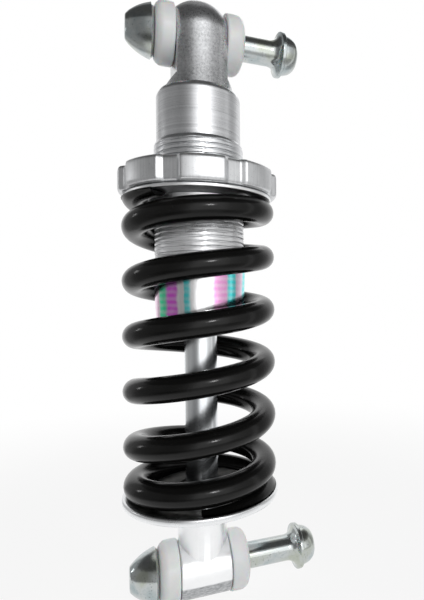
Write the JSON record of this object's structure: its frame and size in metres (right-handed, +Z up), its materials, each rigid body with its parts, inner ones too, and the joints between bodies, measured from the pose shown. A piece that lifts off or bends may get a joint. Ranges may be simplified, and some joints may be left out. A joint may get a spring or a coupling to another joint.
{
  "type": "bicycle rear shock",
  "caption": "Coil-over rear shock for a bicycle: a damper tube with a preload collar, a black coil spring and a pivot bolt with nylon bushes at each eye",
  "frame": {"origin": "centre of the upper eye, on the axis of its pivot bolt", "axes": "+Z runs up along the shock from the lower eye to the upper, +X runs along both pivot bolts towards their heads, +Y points to the far side"},
  "size_m": [0.0609, 0.0484, 0.1849],
  "materials": {
    "turned_aluminium": "fine-turned satin",
    "bright_aluminium": "bright machined",
    "chrome": "ground and hard chromed",
    "zinc_plate": "bright zinc plate",
    "black_enamel": "gloss black coating",
    "white_nylon": "natural moulded, slightly translucent",
    "foil": "bare silver foil with rainbow bands",
    "pressed_steel": "bright plated",
    "spring_steel": "blued spring steel",
    "bronze": "sintered bronze",
    "rubber": "smooth black",
    "polyurethane": "amber, moulded"
  },
  "bodies": {
    "damper": {"damper_body": "turned_aluminium", "foil_label": "foil", "seal_head": "bright_aluminium", "seal_head_o_ring": "rubber", "guide_bush": "bronze", "shaft_seal": "rubber", "dust_wiper": "polyurethane", "retaining_circlip": "spring_steel", "bottom_out_bumper": "polyurethane"},
    "shaft": {"piston_rod": "chrome", "piston": "bright_aluminium", "piston_band": "bronze", "piston_nut": "zinc_plate", "compression_shims": "spring_steel", "rebound_shims": "spring_steel", "top_out_bumper": "polyurethane", "lower_spring_seat": "pressed_steel", "lower_eye": "bright_aluminium", "coil_spring": "black_enamel"},
    "guide_ring": {"spring_guide_ring": "bright_aluminium"},
    "collar": {"preload_collar": "turned_aluminium"},
    "upper_bushes": {"upper_bush_right": "white_nylon", "upper_bush_left": "white_nylon"},
    "upper_bolt": {"upper_pivot_bolt": "zinc_plate"},
    "upper_nut": {"upper_cap_nut": "zinc_plate"},
    "lower_bushes": {"lower_bush_right": "white_nylon", "lower_bush_left": "white_nylon"},
    "lower_bolt": {"lower_pivot_bolt": "zinc_plate"},
    "lower_nut": {"lower_cap_nut": "zinc_plate"}
  },
  "joints": [
    {"name": "shaft_slide", "type": "slide", "parent": "damper", "child": "shaft", "axis": [0, 0, 1], "range_m": [0, 0.035], "stiffness_N_per_m": 105000, "springref_m": -0.002, "deforming": ["coil_spring"]},
    {"name": "guide_ring_slide", "type": "slide", "parent": "damper", "child": "guide_ring", "axis": [0, 0, 1], "range_m": [0, 0.006]},
    {"name": "collar_turn", "type": "hinge", "parent": "guide_ring", "child": "collar", "pos_m": [0, 0, -0.0498], "axis": [0, 0, 1], "range_deg": [0, 1445]},
    {"name": "upper_pivot", "type": "hinge", "parent": "damper", "child": "upper_bushes", "pos_m": [0, 0, 0], "axis": [1, 0, 0], "continuous": true},
    {"name": "upper_bolt_turn", "type": "hinge", "parent": "upper_bushes", "child": "upper_bolt", "pos_m": [0, 0, 0], "axis": [1, 0, 0], "range_deg": [0, 1625]},
    {"name": "upper_nut_slide", "type": "slide", "parent": "upper_bushes", "child": "upper_nut", "axis": [-1, 0, 0], "range_m": [0, 0.0045]},
    {"name": "lower_pivot", "type": "hinge", "parent": "shaft", "child": "lower_bushes", "pos_m": [0, 0, -0.165], "axis": [1, 0, 0], "continuous": true},
    {"name": "lower_bolt_turn", "type": "hinge", "parent": "lower_bushes", "child": "lower_bolt", "pos_m": [0, 0, -0.165], "axis": [1, 0, 0], "range_deg": [0, 1625]},
    {"name": "lower_nut_slide", "type": "slide", "parent": "lower_bushes", "child": "lower_nut", "axis": [-1, 0, 0], "range_m": [0, 0.0045]}
  ],
  "couplings": [
    {"joint": "collar_turn", "follows": "guide_ring_slide", "rad_per_m": 4188.8},
    {"joint": "upper_bolt_turn", "follows": "upper_nut_slide", "rad_per_m": 6283.2},
    {"joint": "lower_bolt_turn", "follows": "lower_nut_slide", "rad_per_m": 6283.2}
  ]
}
